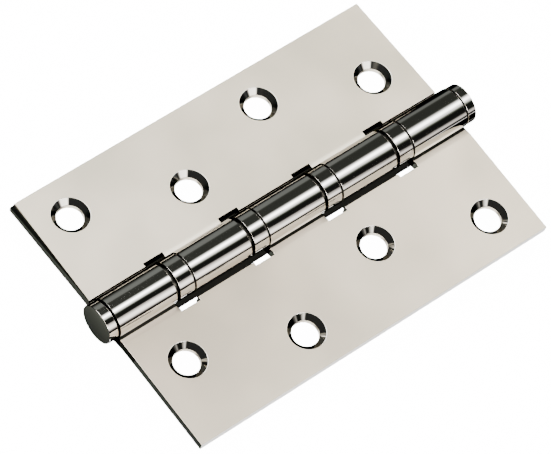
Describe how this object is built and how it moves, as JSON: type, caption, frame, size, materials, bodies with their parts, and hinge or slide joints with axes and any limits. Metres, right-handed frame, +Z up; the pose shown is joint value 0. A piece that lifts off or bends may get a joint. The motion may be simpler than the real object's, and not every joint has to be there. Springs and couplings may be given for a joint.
{
  "type": "butt hinge",
  "caption": "Polished ball bearing butt hinge: countersunk leaves with rolled, swaged knuckles on a pin between flat end caps.",
  "frame": {"origin": "on the surface the hinge lies on, under the middle of the barrel", "axes": "+X along the pin, +Y from the front leaf towards the back leaf, +Z up, out of the countersunk side"},
  "size_m": [0.1058, 0.0698, 0.01],
  "materials": {
    "polished_nickel": "bright nickel plate, polished",
    "bearing_steel": "plain bearing steel"
  },
  "bodies": {
    "front": {"front_leaf": "polished_nickel", "hinge_pin": "bearing_steel", "left_cap": "polished_nickel", "right_cap": "polished_nickel", "bearing_1_turning_race": "polished_nickel", "bearing_3_turning_race": "polished_nickel", "bearing_2_shell": "polished_nickel", "bearing_2_seat_race": "bearing_steel", "bearing_4_shell": "polished_nickel", "bearing_4_seat_race": "bearing_steel"},
    "back": {"back_leaf": "polished_nickel", "bearing_1_shell": "polished_nickel", "bearing_1_seat_race": "bearing_steel", "bearing_3_shell": "polished_nickel", "bearing_3_seat_race": "bearing_steel", "bearing_2_turning_race": "polished_nickel", "bearing_4_turning_race": "polished_nickel"},
    "ball_set_1": {"bearing_1_balls": "bearing_steel"},
    "ball_set_2": {"bearing_2_balls": "bearing_steel"},
    "ball_set_3": {"bearing_3_balls": "bearing_steel"},
    "ball_set_4": {"bearing_4_balls": "bearing_steel"}
  },
  "joints": [
    {"name": "leaf_swing", "type": "hinge", "parent": "front", "child": "back", "pos_m": [0, 0, 0.005], "axis": [1, 0, 0], "range_deg": [-107, 187]},
    {"name": "ball_orbit_1", "type": "hinge", "parent": "front", "child": "ball_set_1", "pos_m": [0, 0, 0.005], "axis": [1, 0, 0], "range_deg": [-54, 94]},
    {"name": "ball_orbit_2", "type": "hinge", "parent": "front", "child": "ball_set_2", "pos_m": [0, 0, 0.005], "axis": [1, 0, 0], "range_deg": [-54, 94]},
    {"name": "ball_orbit_3", "type": "hinge", "parent": "front", "child": "ball_set_3", "pos_m": [0, 0, 0.005], "axis": [1, 0, 0], "range_deg": [-54, 94]},
    {"name": "ball_orbit_4", "type": "hinge", "parent": "front", "child": "ball_set_4", "pos_m": [0, 0, 0.005], "axis": [1, 0, 0], "range_deg": [-54, 94]}
  ],
  "couplings": [
    {"joint": "ball_orbit_1", "follows": "leaf_swing", "ratio": 0.5},
    {"joint": "ball_orbit_2", "follows": "leaf_swing", "ratio": 0.5},
    {"joint": "ball_orbit_3", "follows": "leaf_swing", "ratio": 0.5},
    {"joint": "ball_orbit_4", "follows": "leaf_swing", "ratio": 0.5}
  ]
}
